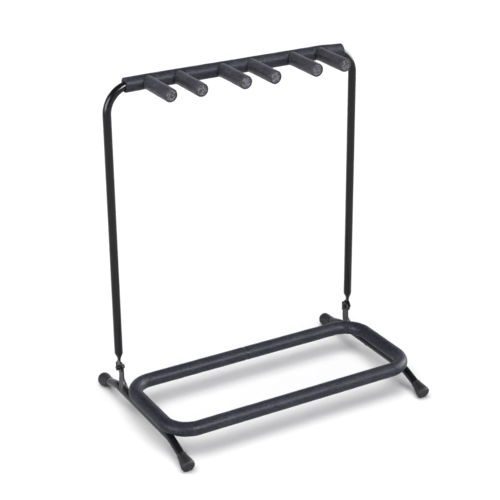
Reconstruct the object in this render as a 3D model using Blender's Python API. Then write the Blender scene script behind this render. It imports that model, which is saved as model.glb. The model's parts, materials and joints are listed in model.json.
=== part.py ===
"""Folding floor rack for a row of guitars.

Two arched side legs on rubber feet carry a foam-covered base loop, where the guitar bodies stand.
A flat ear rises from each leg. An upside-down U of tube is bolted between the two ears, and its
foam-covered crossbar has pairs of foam-covered pegs that the guitar necks stand between. The U folds
forward about the two pivot bolts until it lies over the loop.

Metres, +Z up. The front is -Y, so the left side is -X. The origin is on the floor, under the middle of
the rack's length and depth. The pieces that fold are modelled about the pivot axis, under one empty.
"""
import math

import bmesh
import bpy
from mathutils import Quaternion, Vector

# Driving dimensions ------------------------------------------------------------------------------
GAP = 0.0003                    # left between pieces that touch
TUBE_R = 0.008                  # outside radius of every steel tube
TUBE_WALL = 0.0012
DEPTH = 0.3693                  # from the front feet's ends to the rear feet's ends

PIVOT_Y = 0.0989                # the fold axis, which runs along X
PIVOT_Z = 0.0789
LEAN = math.radians(2.26)       # the upper frame leans back at its stop
FRAME_X = 0.2655                # the upper frame's two tubes
SIDE_X = 0.2632                 # the legs, and the base loop's short sides above them
CROSSBAR_RISE = 0.5596          # from the fold axis to the crossbar's axis
FRAME_BEND_R = 0.051

FOAM_R = 0.0139                 # foam on the crossbar
CROSSBAR_FOAM_LEFT = 0.2285     # the sleeve sits a little to the right
CROSSBAR_FOAM_RIGHT = 0.2385
FOAM_DROP_FROM = 0.190          # where the tube's bend starts to pull the sleeve's end down
FOAM_DROP_LEFT = 0.0005         # how far the bend has pulled each end down
FOAM_DROP_RIGHT = 0.0026
FOAM_SLACK = 0.06               # how much the bore widens with the bend
PEG_PAIR_PITCH = 0.1529
PEG_SPREAD = 0.0622             # between the two pegs of a pair
PEG_LENGTH = 0.0957             # from the crossbar's axis to the peg's end
PEG_FOAM_R = 0.0129
PEG_DROOP = math.radians(1.35)  # below square to the frame
PEG_EDGE = 0.0013               # how far the foam's front edge is rounded off
PEG_VENT_R = 0.003              # through the crossbar's wall, behind each peg
PLUG_R = 0.0093
PLUG_FLANGE = 0.0016
PLUG_STEM = 0.012
PLUG_EDGE = 0.0005

LOOP_REAR_Y = 0.0713
LOOP_FRONT_Y = -0.1307
LOOP_REAR_Z = 0.0504
LOOP_FRONT_Z = 0.0525
LOOP_CORNER_R = 0.048
LOOP_FOAM_R = 0.0137
LEG_DROP = 0.0180               # from the loop's axis down to the leg's axis
FIXING_Y = 0.050                # the loop's screws, each way from the loop's middle
TUBE_SEAM = 0.0006              # between the two ends of the loop's tube, and of its foam
FOAM_SEAM = 0.0004
SLEEVE_HALF = 0.03              # half length of the sleeve inside the tube's seam
SLEEVE_BORE_R = 0.005

FRONT_SLOPE = math.radians(18.5)
REAR_SLOPE = math.radians(17.0)
LEG_BEND_R = 0.070
FOOT_FLAT = 0.0008              # depth of the flat that a foot stands on

EAR_HALF = 0.0095               # half width of the flattened tube ends
EAR_HALF_T = 0.0014             # and half their thickness
EAR_SHOULDER = 0.0095           # the upper ear keeps its width to here, above the axis
SHOULDER_TOP = 0.012            # and has narrowed to this half width here
SHOULDER_HALF = 0.0068
NECK_RISE = 0.018
NECK_HALF_X = 0.0026
NECK_HALF_Y = 0.0041
NECK_BOXY = 2.6
CRIMP_RISE = 0.033              # the upper tube is round above here
STRAP_DROP = 0.018              # the lower ear stays flat down to here, below the axis
ROUND_RUN = 0.028               # length over which the upright turns from flat to round
UPRIGHT_CORNER = 0.042          # from the axis down to the corner of the upright's bend
UPRIGHT_REACH = 0.033           # how far forward of the axis the upright meets the leg
UPRIGHT_BEND_R = 0.028

BOLT_R = 0.0025
NUT_FLATS = 0.008
HEAD_T = 0.003
NUT_T = 0.003
COLLAR_T = 0.0010
COLLAR_R = 0.0037               # the nut's locking collar, and its rim
COLLAR_RIM_R = 0.0032
WASHER_R = 0.005
WASHER_T = 0.0010
THIN_WASHER_T = 0.0006
STOP_T = 0.0025                 # the stop plate behind the ears
STOP_TOP = 0.007                # above the axis
STOP_BOTTOM = -0.012
STOP_EDGE = 0.0005
PIVOT_DRILL = 0.012             # half length of the drill through each pair of ears
SCREW_R = 0.0025
SCREW_TOP = 0.0025              # above the loop's axis
SCREW_HEAD_R = 0.0040
SCREW_HEAD_FACE_R = 0.0030
SCREW_HEAD_T = 0.0012
SPACER_R = 0.005
INSERT_NUT_R = 0.004
INSERT_NUT_BOTTOM = -0.0051     # below and above the loop's axis
INSERT_NUT_TOP = 0.0015

TUBE_SIDES = 12
FOAM_SIDES = 16
SHARP = math.radians(35)
ROUND = 2.0                     # boxiness of a round section
FLAT = 5.0                      # and of a tube pressed flat
ON_PLANE = 0.00001              # how near the floor a point of a foot counts as on it

# Foot cap: radius and distance from its mouth, from the mouth's rim to the rim of the end face
FOOT_PROFILE = (
    (0.0092, 0.0000),
    (0.0097, 0.0040),
    (0.0114, 0.0140),
    (0.0130, 0.0230),
    (0.0133, 0.0268),
    (0.0121, 0.0300),
    (0.0097, 0.0312),
)
FOOT_BORE_DEPTH = 0.024
EAR_STEPS = (1.0, 0.9, 0.65, 0.35, 0.0)     # where an ear's round end has sections, from its tip in

# Worked out from the driving dimensions ----------------------------------------------------------
LOOP_TILT = math.atan((LOOP_FRONT_Z - LOOP_REAR_Z) / (LOOP_REAR_Y - LOOP_FRONT_Y))
LOOP_CENTRE_Y = (LOOP_REAR_Y + LOOP_FRONT_Y) / 2
LOOP_CENTRE_Z = (LOOP_REAR_Z + LOOP_FRONT_Z) / 2
LOOP_HALF_Y = (LOOP_REAR_Y - LOOP_FRONT_Y) / 2 / math.cos(LOOP_TILT)
BORE_R = TUBE_R - TUBE_WALL
HOLE_R = BOLT_R + GAP
UPRIGHT_X = FRAME_X - 2 * EAR_HALF_T - THIN_WASHER_T - 2 * GAP
X_AXIS = Vector((1, 0, 0))
Y_AXIS = Vector((0, 1, 0))
Z_AXIS = Vector((0, 0, 1))
SIDES = (("left", -1), ("right", 1))


# Mesh helpers ------------------------------------------------------------------------------------
def ring(centre, side, up, half_side, half_up, count, power=ROUND):
    """One cross-section, round where power is 2 and boxier where it is more."""
    points = []
    for k in range(count):
        angle = 2 * math.pi * k / count
        c = math.cos(angle)
        s = math.sin(angle)
        a = math.copysign(abs(c) ** (2 / power), c) * half_side
        b = math.copysign(abs(s) ** (2 / power), s) * half_up
        points.append(Vector(centre) + side * a + up * b)
    return points


def loft(bm, rings, joined=False):
    """Skin the rings in order, closing the two ends, or joining the last ring to the first."""
    loops = [[bm.verts.new(point) for point in points] for points in rings]
    following = loops[1:] + loops[:1] if joined else loops[1:]
    for one, two in zip(loops, following):
        for k in range(len(one)):
            n = (k + 1) % len(one)
            bm.faces.new((one[k], one[n], two[n], two[k]))
    if not joined:
        bm.faces.new(loops[0])
        bm.faces.new(loops[-1])


def lathe(bm, profile, count, origin=(0, 0, 0), axis=Z_AXIS, side=X_AXIS, joined=False):
    """Turn (radius, distance) points about axis."""
    up = axis.cross(side)
    rings = []
    for radius, distance in profile:
        rings.append(ring(Vector(origin) + axis * distance, side, up, radius, radius, count))
    loft(bm, rings, joined)


def hex_ring(centre, side, up, flats):
    """A hexagon of twelve points, so that it bridges to a round section of twelve."""
    points = []
    for k in range(12):
        radius = flats / 2 if k % 2 else flats / 2 / math.cos(math.pi / 6)
        angle = 2 * math.pi * k / 12
        points.append(Vector(centre) + side * radius * math.cos(angle) + up * radius * math.sin(angle))
    return points


def fillet_path(corners, radius, steps):
    """Straight runs through the corners, with an arc at each corner between the two ends."""
    corners = [Vector(corner) for corner in corners]
    path = [corners[0]]
    for before, here, after in zip(corners, corners[1:], corners[2:]):
        back = (before - here).normalized()
        ahead = (after - here).normalized()
        half = back.angle(ahead) / 2
        start = here + back * (radius / math.tan(half))
        centre = here + (back + ahead).normalized() * (radius / math.sin(half))
        axis = (-back).cross(ahead).normalized()
        for k in range(steps + 1):
            arm = start - centre
            arm.rotate(Quaternion(axis, (math.pi - 2 * half) * k / steps))
            path.append(centre + arm)
    path.append(corners[-1])
    return path


def tangent_at(path, i):
    steps = []
    if i > 0:
        steps.append((path[i] - path[i - 1]).normalized())
    if i < len(path) - 1:
        steps.append((path[i + 1] - path[i]).normalized())
    return sum(steps, Vector()).normalized()


def tube_rings(path, normal, radius, count):
    """Round rings along a path that lies in the plane square to normal."""
    rings = []
    for i, point in enumerate(path):
        rings.append(ring(point, tangent_at(path, i).cross(normal), normal, radius, radius, count))
    return rings


def hollow_tube(bm, path, normal, outer, inner, count):
    loft(bm, tube_rings(path, normal, outer, count) + tube_rings(path, normal, inner, count)[::-1], True)


def smooth_step(value):
    value = min(max(value, 0.0), 1.0)
    return value * value * (3 - 2 * value)


def mix(start, end, share):
    return start + (end - start) * share


# Object helpers ----------------------------------------------------------------------------------
def clear_scene():
    for obj in list(bpy.data.objects):
        bpy.data.objects.remove(obj, do_unlink=True)


def make_material(name, colour, roughness, metallic=0.0):
    material = bpy.data.materials.new(name)
    material.use_nodes = True
    shader = material.node_tree.nodes["Principled BSDF"]
    shader.inputs["Base Color"].default_value = (*colour, 1)
    shader.inputs["Roughness"].default_value = roughness
    shader.inputs["Metallic"].default_value = metallic
    material.diffuse_color = (*colour, 1)
    return material


def make_empty(name, location, turn):
    empty = bpy.data.objects.new(name, None)
    empty.location = location
    empty.rotation_euler.x = turn
    bpy.context.scene.collection.objects.link(empty)
    return empty


def make_object(name, bm, material, parent=None):
    bmesh.ops.recalc_face_normals(bm, faces=bm.faces)
    mesh = bpy.data.meshes.new(name)
    bm.to_mesh(mesh)
    bm.free()
    if material:
        mesh.materials.append(material)
    mesh.shade_smooth()
    mesh.set_sharp_from_angle(angle=SHARP)
    obj = bpy.data.objects.new(name, mesh)
    bpy.context.scene.collection.objects.link(obj)
    obj.parent = parent
    return obj


def make_cutter(name, bm, parent=None):
    obj = make_object(name, bm, None, parent)
    obj.hide_render = True
    obj.display_type = "WIRE"
    return obj


def cut(obj, *cutters):
    for cutter in cutters:
        modifier = obj.modifiers.new(cutter.name, "BOOLEAN")
        modifier.operation = "DIFFERENCE"
        modifier.solver = "EXACT"
        modifier.object = cutter


def rods(name, places, axis, side, radius, start, end, parent):
    """A cutter of separate round rods."""
    bm = bmesh.new()
    for place in places:
        lathe(bm, ((radius, start), (radius, end)), TUBE_SIDES, place, axis, side)
    return make_cutter(name, bm, parent)


# Base: legs, feet, uprights ----------------------------------------------------------------------
def leg_height(y):
    """Height of the leg's axis along its middle run, which lies parallel to the loop."""
    return LOOP_CENTRE_Z + (LOOP_CENTRE_Y - y) * math.tan(LOOP_TILT) - LEG_DROP / math.cos(LOOP_TILT)


def foot_mouth(forward, slope):
    """Where the foot cap's mouth sits on the leg's axis, in Y and Z; forward is -1 or 1 along Y."""
    reach = max(t * math.cos(slope) + r * math.sin(slope) for r, t in FOOT_PROFILE)
    drop = max(t * math.sin(slope) + r * math.cos(slope) for r, t in FOOT_PROFILE)
    return forward * (DEPTH / 2 - reach), drop - FOOT_FLAT


def leg_corner(forward, slope):
    """Where the line through the foot meets the leg's middle run."""
    y, z = foot_mouth(forward, slope)
    run = (leg_height(y) - z) / (math.sin(slope) - forward * math.cos(slope) * math.tan(LOOP_TILT))
    return y - forward * run * math.cos(slope), z + run * math.sin(slope)


def leg_end(forward, slope):
    """The tube's end, just short of the bottom of the foot's bore."""
    y, z = foot_mouth(forward, slope)
    inside = FOOT_BORE_DEPTH - GAP
    return y + forward * inside * math.cos(slope), z - inside * math.sin(slope)


def leg_path(x):
    corners = (leg_end(1, REAR_SLOPE), leg_corner(1, REAR_SLOPE),
               leg_corner(-1, FRONT_SLOPE), leg_end(-1, FRONT_SLOPE))
    return fillet_path([(x, y, z) for y, z in corners], LEG_BEND_R, 4)


def make_leg(name, sign, paint, holes):
    bm = bmesh.new()
    hollow_tube(bm, leg_path(sign * SIDE_X), X_AXIS, TUBE_R, BORE_R, TUBE_SIDES)
    cut(make_object(name + "_leg_tube", bm, paint), holes)


def make_leg_cutter(name, sign):
    """The leg with a little clearance, for the pieces that fit around it."""
    bm = bmesh.new()
    loft(bm, tube_rings(leg_path(sign * SIDE_X), X_AXIS, TUBE_R + GAP, TUBE_SIDES))
    return make_cutter(name + "_leg_cutter", bm)


def make_foot(name, sign, forward, slope, rubber):
    """A rubber cap over the end of the leg, with a small flat where it stands on the floor."""
    y, z = foot_mouth(forward, slope)
    turn = forward * (math.pi / 2 + slope)
    bm = bmesh.new()
    bore_r = TUBE_R + GAP
    lathe(bm, ((bore_r, FOOT_BORE_DEPTH), (bore_r, 0)) + FOOT_PROFILE, FOAM_SIDES)
    obj = make_object(name, bm, rubber)
    obj.location = (sign * SIDE_X, y, z)
    obj.rotation_euler.x = -turn
    bm = bmesh.new()
    bm.from_mesh(obj.data)
    to_local = obj.rotation_euler.to_matrix().inverted()
    cut_result = bmesh.ops.bisect_plane(
        bm, geom=bm.verts[:] + bm.edges[:] + bm.faces[:], dist=ON_PLANE,
        plane_co=to_local @ -obj.location, plane_no=to_local @ -Z_AXIS, clear_outer=True)
    rim = [item for item in cut_result["geom_cut"] if isinstance(item, bmesh.types.BMEdge)]
    bmesh.ops.contextual_create(bm, geom=rim)
    bmesh.ops.recalc_face_normals(bm, faces=bm.faces)
    bm.to_mesh(obj.data)
    bm.free()


def upright_sections(path):
    """Half width, half thickness and boxiness at each point of the upright, from its top down."""
    sections = []
    travelled = 0.0
    for i, point in enumerate(path):
        if i > 0:
            travelled += (point - path[i - 1]).length
        below = travelled - EAR_HALF
        round_share = smooth_step((below - STRAP_DROP) / ROUND_RUN)
        width = math.sqrt(max(EAR_HALF ** 2 - min(below, 0) ** 2, 0))
        half_width = max(width, EAR_HALF / 4) if below < 0 else mix(EAR_HALF, TUBE_R, round_share)
        half_thick = mix(EAR_HALF_T, TUBE_R, round_share)
        sections.append((half_width, half_thick, mix(FLAT, ROUND, round_share)))
    return sections


def upright_path(x):
    """From the top of the ear, down the strap and round the bend to the leg's axis."""
    up = Vector((0, math.sin(LEAN), math.cos(LEAN)))
    pivot = Vector((x, PIVOT_Y, PIVOT_Z))
    foot_y = PIVOT_Y - UPRIGHT_REACH
    bend = fillet_path((pivot, pivot - up * UPRIGHT_CORNER, (x, foot_y, leg_height(foot_y))),
                       UPRIGHT_BEND_R, 7)
    ear = [pivot + up * EAR_HALF * share for share in EAR_STEPS[:-1]]
    return ear + bend


def make_upright(name, sign, paint, leg_cutter, pivot_hole):
    path = upright_path(sign * UPRIGHT_X)
    outer = []
    inner = []
    for i, (half_width, half_thick, power) in enumerate(upright_sections(path)):
        side = tangent_at(path, i).cross(X_AXIS)
        outer.append(ring(path[i], side, X_AXIS, half_width, half_thick, TUBE_SIDES, power))
        if half_thick > TUBE_R / 2:
            inner.append(ring(path[i], side, X_AXIS, half_width - TUBE_WALL, half_thick - TUBE_WALL,
                              TUBE_SIDES, power))
    bm = bmesh.new()
    loft(bm, outer + inner[::-1])
    obj = make_object(name + "_upright", bm, paint)
    cut(obj, leg_cutter, pivot_hole)


def make_stop_plate(name, sign, paint, pivot):
    """A plate welded across the rear edge of the strap, which the upper ear rests against."""
    inner = UPRIGHT_X - EAR_HALF_T
    outer = FRAME_X + EAR_HALF_T + 2 * GAP
    bm = bmesh.new()
    bmesh.ops.create_cube(bm, size=1)
    bmesh.ops.scale(bm, vec=(outer - inner, STOP_T, STOP_TOP - STOP_BOTTOM), verts=bm.verts)
    bmesh.ops.bevel(bm, geom=bm.edges[:], offset=STOP_EDGE, segments=1, affect="EDGES")
    obj = make_object(name + "_stop_plate", bm, paint, pivot)
    middle = EAR_HALF + GAP + STOP_T / 2
    obj.location = (sign * (inner + outer) / 2, middle, (STOP_TOP + STOP_BOTTOM) / 2)


# Base: loop --------------------------------------------------------------------------------------
def loop_path(seam):
    """Once round the loop, from one side of a seam in the middle of its rear bar to the other."""
    corners = ((seam / 2, LOOP_HALF_Y, 0), (SIDE_X, LOOP_HALF_Y, 0), (SIDE_X, -LOOP_HALF_Y, 0),
               (-SIDE_X, -LOOP_HALF_Y, 0), (-SIDE_X, LOOP_HALF_Y, 0), (-seam / 2, LOOP_HALF_Y, 0))
    return fillet_path(corners, LOOP_CORNER_R, 6)


def fixing_places():
    return [(x, y, 0) for x in (-SIDE_X, SIDE_X) for y in (-FIXING_Y, FIXING_Y)]


def make_loop(paint, foam, leg_cutters, loop):
    screw_holes = rods("loop_screw_cutter", fixing_places(), Z_AXIS, X_AXIS,
                       SCREW_R + GAP, -2 * TUBE_R, 0, loop)
    bm = bmesh.new()
    hollow_tube(bm, loop_path(TUBE_SEAM), Z_AXIS, TUBE_R, BORE_R, TUBE_SIDES)
    cut(make_object("base_loop_tube", bm, paint, loop), screw_holes)

    bm = bmesh.new()
    lathe(bm, ((BORE_R - GAP, -SLEEVE_HALF), (BORE_R - GAP, SLEEVE_HALF),
               (SLEEVE_BORE_R, SLEEVE_HALF), (SLEEVE_BORE_R, -SLEEVE_HALF)),
          TUBE_SIDES, (0, LOOP_HALF_Y, 0), X_AXIS, Y_AXIS, joined=True)
    make_object("loop_joint_sleeve", bm, paint, loop)

    spacer_holes = rods("loop_spacer_cutter", fixing_places(), Z_AXIS, X_AXIS,
                        SPACER_R + GAP, -2 * LOOP_FOAM_R, -TUBE_R / 2, loop)
    bm = bmesh.new()
    hollow_tube(bm, loop_path(FOAM_SEAM), Z_AXIS, LOOP_FOAM_R, TUBE_R + GAP, FOAM_SIDES)
    cut(make_object("loop_foam", bm, foam, loop), spacer_holes, *leg_cutters)


def saddle_ring(place, radius, seat_radius, seat_height, below):
    """A round ring about Z, bent to sit on a tube that runs along Y."""
    points = []
    for k in range(TUBE_SIDES):
        angle = 2 * math.pi * k / TUBE_SIDES
        x = radius * math.cos(angle)
        rise = math.sqrt(seat_radius ** 2 - x ** 2)
        z = seat_height - rise if below else seat_height + rise
        points.append(Vector(place) + Vector((x, radius * math.sin(angle), z)))
    return points


def make_loop_fixings(black_zinc, loop):
    """Screws up through the legs, spacers in the foam, and nuts inside the loop's tube."""
    seat = TUBE_R + GAP
    hole = SCREW_R + GAP
    under = -LEG_DROP - seat
    for number, place in enumerate(fixing_places(), 1):
        bm = bmesh.new()
        lathe(bm, ((SCREW_HEAD_FACE_R, under - SCREW_HEAD_T), (SCREW_HEAD_R, under - SCREW_HEAD_T / 2),
                   (SCREW_HEAD_R, under), (SCREW_R, under), (SCREW_R, SCREW_TOP)), TUBE_SIDES, place)
        make_object(f"loop_screw_{number}", bm, black_zinc, loop)
        bm = bmesh.new()
        loft(bm, (saddle_ring(place, SPACER_R, seat, -LEG_DROP, False),
                  saddle_ring(place, SPACER_R, seat, 0, True),
                  saddle_ring(place, hole, seat, 0, True),
                  saddle_ring(place, hole, seat, -LEG_DROP, False)), joined=True)
        make_object(f"loop_spacer_{number}", bm, black_zinc, loop)
        bm = bmesh.new()
        lathe(bm, ((INSERT_NUT_R, INSERT_NUT_BOTTOM), (INSERT_NUT_R, INSERT_NUT_TOP),
                   (hole, INSERT_NUT_TOP), (hole, INSERT_NUT_BOTTOM)), TUBE_SIDES, place, joined=True)
        make_object(f"loop_insert_nut_{number}", bm, black_zinc, loop)


# Pivots ------------------------------------------------------------------------------------------
def pivot_stack():
    """Distances from the leg's plane out along the bolt, where each piece of the pivot starts."""
    inner_washer = -EAR_HALF_T - GAP - WASHER_T
    middle_washer = EAR_HALF_T + GAP
    outer_washer = FRAME_X - UPRIGHT_X + EAR_HALF_T + GAP
    return inner_washer, middle_washer, outer_washer


def pivot_ring(sign, distance, radius):
    centre = (sign * (UPRIGHT_X + distance), 0, 0)
    return ring(centre, Y_AXIS, Z_AXIS, radius, radius, TUBE_SIDES)


def pivot_hex(sign, distance, flats):
    return hex_ring((sign * (UPRIGHT_X + distance), 0, 0), Y_AXIS, Z_AXIS, flats)


def make_pivot_bolt(name, sign, black_zinc, pivot):
    head = pivot_stack()[0] - GAP
    end = pivot_stack()[2] + WASHER_T + NUT_T + COLLAR_T + GAP
    bm = bmesh.new()
    loft(bm, (pivot_hex(sign, head - HEAD_T, NUT_FLATS * 0.9),
              pivot_hex(sign, head - HEAD_T * 0.85, NUT_FLATS),
              pivot_hex(sign, head, NUT_FLATS),
              pivot_ring(sign, head, BOLT_R),
              pivot_ring(sign, end, BOLT_R)))
    make_object(name + "_pivot_bolt", bm, black_zinc, pivot)


def make_lock_nut(name, sign, black_zinc, pivot):
    start = pivot_stack()[2] + WASHER_T + GAP
    bm = bmesh.new()
    loft(bm, (pivot_hex(sign, start, NUT_FLATS),
              pivot_hex(sign, start + NUT_T, NUT_FLATS),
              pivot_ring(sign, start + NUT_T, COLLAR_R),
              pivot_ring(sign, start + NUT_T + COLLAR_T / 2, COLLAR_R),
              pivot_ring(sign, start + NUT_T + COLLAR_T, COLLAR_RIM_R),
              pivot_ring(sign, start + NUT_T + COLLAR_T, HOLE_R),
              pivot_ring(sign, start, HOLE_R)), joined=True)
    make_object(name + "_lock_nut", bm, black_zinc, pivot)


def make_pivot_washers(name, sign, black_zinc, pivot):
    kinds = (("inner", WASHER_T), ("middle", THIN_WASHER_T), ("outer", WASHER_T))
    for start, (kind, thickness) in zip(pivot_stack(), kinds):
        bm = bmesh.new()
        loft(bm, (pivot_ring(sign, start, WASHER_R), pivot_ring(sign, start + thickness, WASHER_R),
                  pivot_ring(sign, start + thickness, HOLE_R), pivot_ring(sign, start, HOLE_R)),
             joined=True)
        make_object(f"{name}_{kind}_washer", bm, black_zinc, pivot)


# Upper frame -------------------------------------------------------------------------------------
def crimped_end():
    """Rise above the axis, half thickness, half width and boxiness, from the ear's tip to round."""
    rows = []
    for share in EAR_STEPS:
        width = max(EAR_HALF * math.sqrt(1 - share ** 2), EAR_HALF / 4)
        rows.append((-EAR_HALF * share, EAR_HALF_T, width, FLAT))
    rows.append((EAR_SHOULDER, EAR_HALF_T, EAR_HALF, FLAT))
    rows.append((SHOULDER_TOP, EAR_HALF_T, SHOULDER_HALF, FLAT))
    for k in range(6):
        share = smooth_step(k / 5)
        rows.append((mix(NECK_RISE, CRIMP_RISE, k / 5), mix(NECK_HALF_X, TUBE_R, share),
                     mix(NECK_HALF_Y, TUBE_R, share), mix(NECK_BOXY, ROUND, share)))
    return rows


def end_rings(sign, along):
    rings = []
    for rise, half_x, half_y, power in crimped_end():
        rings.append(ring((sign * FRAME_X, 0, rise), along.cross(Y_AXIS), Y_AXIS,
                          half_x, half_y, TUBE_SIDES, power))
    return rings


def frame_path(from_rise):
    """Up one side, across and down the other."""
    corners = ((-FRAME_X, 0, from_rise), (-FRAME_X, 0, CROSSBAR_RISE),
               (FRAME_X, 0, CROSSBAR_RISE), (FRAME_X, 0, from_rise))
    return fillet_path(corners, FRAME_BEND_R, 7)


def peg_places():
    pairs = (-PEG_PAIR_PITCH, 0, PEG_PAIR_PITCH)
    return [(middle + side * PEG_SPREAD / 2, 0, CROSSBAR_RISE) for middle in pairs for side in (-1, 1)]


def peg_direction():
    return Vector((0, -math.cos(PEG_DROOP), -math.sin(PEG_DROOP)))


def make_frame_tube(paint, pivot_holes, pivot):
    middle = tube_rings(frame_path(CRIMP_RISE + TUBE_WALL), Y_AXIS, TUBE_R, TUBE_SIDES)
    bm = bmesh.new()
    loft(bm, end_rings(-1, Z_AXIS) + middle + end_rings(1, -Z_AXIS)[::-1])
    obj = make_object("upper_frame_tube", bm, paint, pivot)
    bm = bmesh.new()
    loft(bm, tube_rings(frame_path(CRIMP_RISE), Y_AXIS, BORE_R, TUBE_SIDES))
    bore = make_cutter("frame_bore_cutter", bm, pivot)
    vents = rods("peg_vent_cutter", peg_places(), peg_direction(), X_AXIS,
                 PEG_VENT_R, 0, 2 * TUBE_R, pivot)
    cut(obj, bore, vents, pivot_holes)


def crossbar_drop(x):
    """How far the crossbar's axis has bent down at x, and the slope there."""
    past = max(abs(x) - (FRAME_X - FRAME_BEND_R), 0)
    angle = math.asin(past / FRAME_BEND_R)
    return FRAME_BEND_R * (1 - math.cos(angle)), angle


def sleeve_drop(x):
    """How far the tube's bend has pulled the crossbar's sleeve down at x."""
    end, depth = (CROSSBAR_FOAM_LEFT, FOAM_DROP_LEFT) if x < 0 else (CROSSBAR_FOAM_RIGHT, FOAM_DROP_RIGHT)
    share = (abs(x) - FOAM_DROP_FROM) / (end - FOAM_DROP_FROM)
    return depth * share * share * (3 - 2 * share)


def make_crossbar_foam(foam, pivot):
    """A sleeve that is straight but for its two ends, where the tube inside starts to bend."""
    steps = (0.0, 0.3, 0.52, 0.76, 1.0)
    left = [-mix(FOAM_DROP_FROM, CROSSBAR_FOAM_LEFT, step) for step in steps]
    right = [mix(FOAM_DROP_FROM, CROSSBAR_FOAM_RIGHT, step) for step in steps]
    outer = []
    inner = []
    for x in left[::-1] + right:
        drop, angle = crossbar_drop(x)
        bore = TUBE_R + 2 * GAP + drop * FOAM_SLACK
        outer.append(ring((x, 0, CROSSBAR_RISE - sleeve_drop(x)), Y_AXIS, Z_AXIS,
                          FOAM_R, FOAM_R, FOAM_SIDES))
        inner.append(ring((x, 0, CROSSBAR_RISE - drop), Y_AXIS, Z_AXIS,
                          bore, bore / math.cos(angle), FOAM_SIDES))
    bm = bmesh.new()
    loft(bm, outer + inner[::-1], joined=True)
    holes = rods("peg_hole_cutter", peg_places(), peg_direction(), X_AXIS,
                 TUBE_R + GAP, 0, 2 * FOAM_R, pivot)
    cut(make_object("crossbar_foam", bm, foam, pivot), holes)


def peg_seat_ring(radius, seat_radius, count):
    """The rear end of a round peg, cut to sit on a crossbar of the given radius."""
    points = []
    for k in range(count):
        angle = 2 * math.pi * k / count
        z = radius * math.sin(angle)
        points.append(Vector((radius * math.cos(angle), -math.sqrt(seat_radius ** 2 - z ** 2), z)))
    return points


def peg_ring(radius, distance, count):
    return ring((0, -distance, 0), X_AXIS, Z_AXIS, radius, radius, count)


def place_peg(obj, place):
    obj.location = place
    obj.rotation_euler.x = PEG_DROOP


def make_peg(number, place, paint, foam, plastic, pivot):
    tube_end = PEG_LENGTH - PLUG_FLANGE - GAP
    bm = bmesh.new()
    loft(bm, (peg_seat_ring(TUBE_R, TUBE_R + GAP, TUBE_SIDES), peg_ring(TUBE_R, tube_end, TUBE_SIDES),
              peg_ring(BORE_R, tube_end, TUBE_SIDES), peg_seat_ring(BORE_R, TUBE_R + GAP, TUBE_SIDES)),
         joined=True)
    place_peg(make_object(f"peg_tube_{number}", bm, paint, pivot), place)

    bore = TUBE_R + GAP
    recess = tube_end - GAP
    bm = bmesh.new()
    loft(bm, (peg_seat_ring(PEG_FOAM_R, FOAM_R + GAP, FOAM_SIDES),
              peg_ring(PEG_FOAM_R, PEG_LENGTH - PEG_EDGE, FOAM_SIDES),
              peg_ring(PEG_FOAM_R - PEG_EDGE, PEG_LENGTH, FOAM_SIDES),
              peg_ring(PLUG_R + GAP, PEG_LENGTH, FOAM_SIDES),
              peg_ring(PLUG_R + GAP, recess, FOAM_SIDES),
              peg_ring(bore, recess, FOAM_SIDES),
              peg_seat_ring(bore, FOAM_R + GAP, FOAM_SIDES),
              peg_seat_ring((bore + PEG_FOAM_R) / 2, FOAM_R + GAP, FOAM_SIDES)), joined=True)
    place_peg(make_object(f"peg_foam_{number}", bm, foam, pivot), place)

    stem = BORE_R - GAP
    bm = bmesh.new()
    loft(bm, (peg_ring(stem, tube_end - PLUG_STEM, FOAM_SIDES),
              peg_ring(stem, tube_end + GAP, FOAM_SIDES),
              peg_ring(PLUG_R, tube_end + GAP, FOAM_SIDES),
              peg_ring(PLUG_R, PEG_LENGTH - PLUG_EDGE, FOAM_SIDES),
              peg_ring(PLUG_R - PLUG_EDGE, PEG_LENGTH, FOAM_SIDES)))
    place_peg(make_object(f"peg_plug_{number}", bm, plastic, pivot), place)


# Assembly ----------------------------------------------------------------------------------------
def build_base(paint, foam, rubber, black_zinc, pivot_holes):
    loop = make_empty("base_loop_frame", (0, LOOP_CENTRE_Y, LOOP_CENTRE_Z), -LOOP_TILT)
    leg_holes = rods("leg_screw_cutter", fixing_places(), Z_AXIS, X_AXIS, SCREW_R + GAP,
                     -LEG_DROP - 2 * TUBE_R, -LEG_DROP + 2 * TUBE_R, loop)
    hardware = make_empty("pivot_axis", (0, PIVOT_Y, PIVOT_Z), -LEAN)
    leg_cutters = []
    for name, sign in SIDES:
        make_leg(name, sign, paint, leg_holes)
        leg_cutters.append(make_leg_cutter(name, sign))
        make_upright(name, sign, paint, leg_cutters[-1], pivot_holes)
        make_stop_plate(name, sign, paint, hardware)
        make_foot(f"front_{name}_foot", sign, -1, FRONT_SLOPE, rubber)
        make_foot(f"rear_{name}_foot", sign, 1, REAR_SLOPE, rubber)
        make_pivot_bolt(name, sign, black_zinc, hardware)
        make_lock_nut(name, sign, black_zinc, hardware)
        make_pivot_washers(name, sign, black_zinc, hardware)
    make_loop(paint, foam, leg_cutters, loop)
    make_loop_fixings(black_zinc, loop)


def build_upper_frame(paint, foam, plastic, pivot_holes, pivot):
    make_frame_tube(paint, pivot_holes, pivot)
    make_crossbar_foam(foam, pivot)
    for number, place in enumerate(peg_places(), 1):
        make_peg(number, place, paint, foam, plastic, pivot)


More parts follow.
